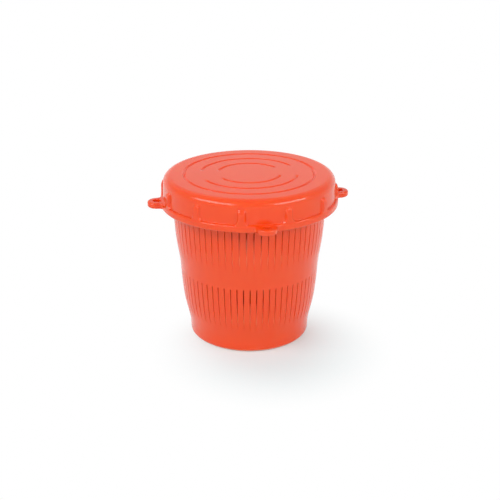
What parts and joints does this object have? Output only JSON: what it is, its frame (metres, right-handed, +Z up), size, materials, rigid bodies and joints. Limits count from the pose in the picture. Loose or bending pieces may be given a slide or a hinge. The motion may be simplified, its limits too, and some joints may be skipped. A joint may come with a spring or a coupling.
{
  "type": "bait jar",
  "caption": "Vented plastic bait jar with slotted tapered walls and a ribbed twist-off lid with tie-down ears.",
  "frame": {"origin": "middle of the base, on the surface the jar stands on", "axes": "+Z up along the jar's axis; two of the lid's ears point along +X and -X, the other two along +Y and -Y"},
  "size_m": [0.132, 0.132, 0.109],
  "materials": {
    "jar": "moulded orange-red plastic, satin gloss",
    "lid": "moulded orange-red plastic, satin gloss"
  },
  "bodies": {
    "jar": {"jar": "jar"},
    "lid": {"lid": "lid"}
  },
  "joints": [
    {"name": "lid_lift", "type": "slide", "parent": "jar", "child": "lid", "axis": [0, 0, 1], "range_m": [0, 0.06]}
  ]
}
